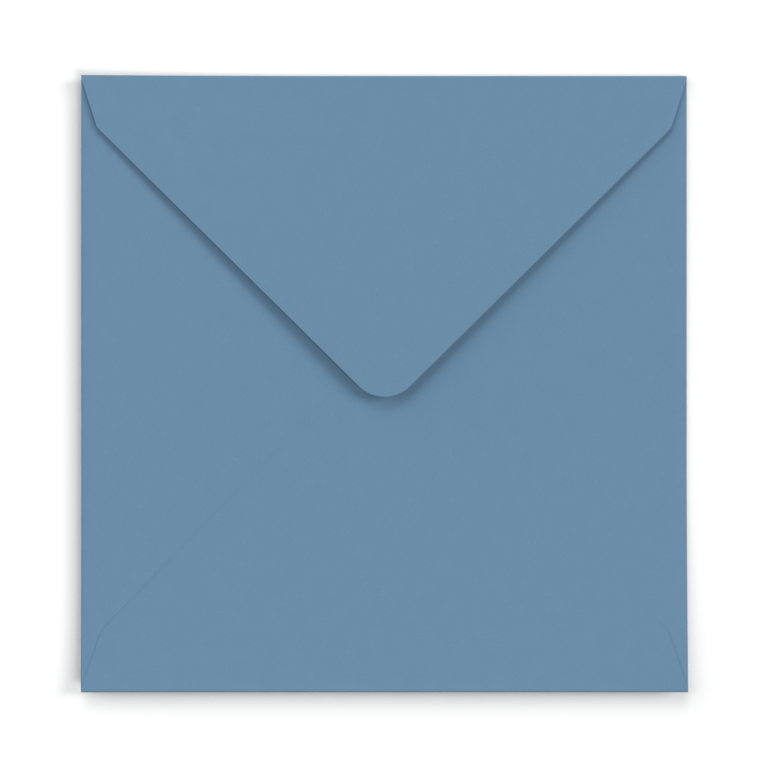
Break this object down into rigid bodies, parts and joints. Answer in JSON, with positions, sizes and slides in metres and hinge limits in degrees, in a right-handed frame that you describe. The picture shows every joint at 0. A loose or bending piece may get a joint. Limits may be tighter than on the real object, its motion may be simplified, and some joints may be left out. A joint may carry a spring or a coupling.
{
  "type": "paper envelope",
  "caption": "Square card envelope folded from one sheet of blue paper, with a pointed top flap that springs up over the glued pocket.",
  "frame": {"origin": "middle of the underside of the address panel, which lies on the table", "axes": "+X along the top flap's crease, +Y up the envelope from the bottom fold to that crease, +Z out of the flap side"},
  "size_m": [0.155, 0.1576, 0.0044],
  "materials": {
    "paper": "uncoated, dyed through, matte"
  },
  "bodies": {
    "root": {"envelope": "paper"}
  },
  "joints": []
}
